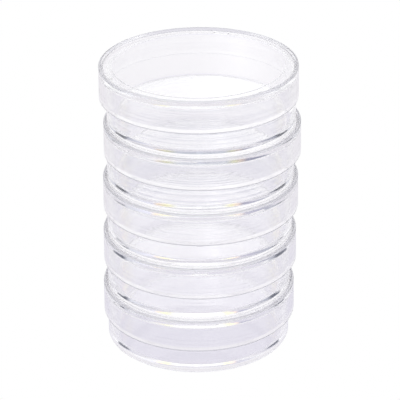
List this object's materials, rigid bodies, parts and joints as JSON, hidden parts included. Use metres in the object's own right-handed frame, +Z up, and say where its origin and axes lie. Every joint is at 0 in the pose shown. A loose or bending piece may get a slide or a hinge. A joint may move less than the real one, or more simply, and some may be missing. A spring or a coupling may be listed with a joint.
{
  "type": "petri dish stack",
  "caption": "Free-standing stack of small round clear plastic petri dishes, each a shallow base with a loose lift-off lid whose raised rim seats the dish above.",
  "frame": {"origin": "on the surface the stack stands on, at the middle of the stack's footprint", "axes": "+Z up along the stack, +Y away from the viewer, +X to the viewer's right"},
  "size_m": [0.041, 0.04, 0.0605],
  "materials": {
    "clear_polystyrene": "clear, polished moulded polystyrene"
  },
  "bodies": {
    "dish_1_base": {"dish_1_base": "clear_polystyrene"},
    "dish_1_lid": {"dish_1_lid": "clear_polystyrene"},
    "dish_2_base": {"dish_2_base": "clear_polystyrene"},
    "dish_2_lid": {"dish_2_lid": "clear_polystyrene"},
    "dish_3_base": {"dish_3_base": "clear_polystyrene"},
    "dish_3_lid": {"dish_3_lid": "clear_polystyrene"},
    "dish_4_base": {"dish_4_base": "clear_polystyrene"},
    "dish_4_lid": {"dish_4_lid": "clear_polystyrene"},
    "dish_5_base": {"dish_5_base": "clear_polystyrene"},
    "dish_5_lid": {"dish_5_lid": "clear_polystyrene"}
  },
  "joints": [
    {"name": "dish_1_lid_lift", "type": "slide", "parent": "dish_1_base", "child": "dish_1_lid", "axis": [0, 0, 1], "range_m": [0, 0.014]},
    {"name": "dish_2_base_lift", "type": "slide", "parent": "dish_1_lid", "child": "dish_2_base", "axis": [0, 0, 1], "range_m": [0, 0.009]},
    {"name": "dish_2_lid_lift", "type": "slide", "parent": "dish_2_base", "child": "dish_2_lid", "axis": [0, 0, 1], "range_m": [0, 0.014]},
    {"name": "dish_3_base_lift", "type": "slide", "parent": "dish_2_lid", "child": "dish_3_base", "axis": [0, 0, 1], "range_m": [0, 0.009]},
    {"name": "dish_3_lid_lift", "type": "slide", "parent": "dish_3_base", "child": "dish_3_lid", "axis": [0, 0, 1], "range_m": [0, 0.014]},
    {"name": "dish_4_base_lift", "type": "slide", "parent": "dish_3_lid", "child": "dish_4_base", "axis": [0, 0, 1], "range_m": [0, 0.009]},
    {"name": "dish_4_lid_lift", "type": "slide", "parent": "dish_4_base", "child": "dish_4_lid", "axis": [0, 0, 1], "range_m": [0, 0.014]},
    {"name": "dish_5_base_lift", "type": "slide", "parent": "dish_4_lid", "child": "dish_5_base", "axis": [0, 0, 1], "range_m": [0, 0.009]},
    {"name": "dish_5_lid_lift", "type": "slide", "parent": "dish_5_base", "child": "dish_5_lid", "axis": [0, 0, 1], "range_m": [0, 0.014]}
  ]
}
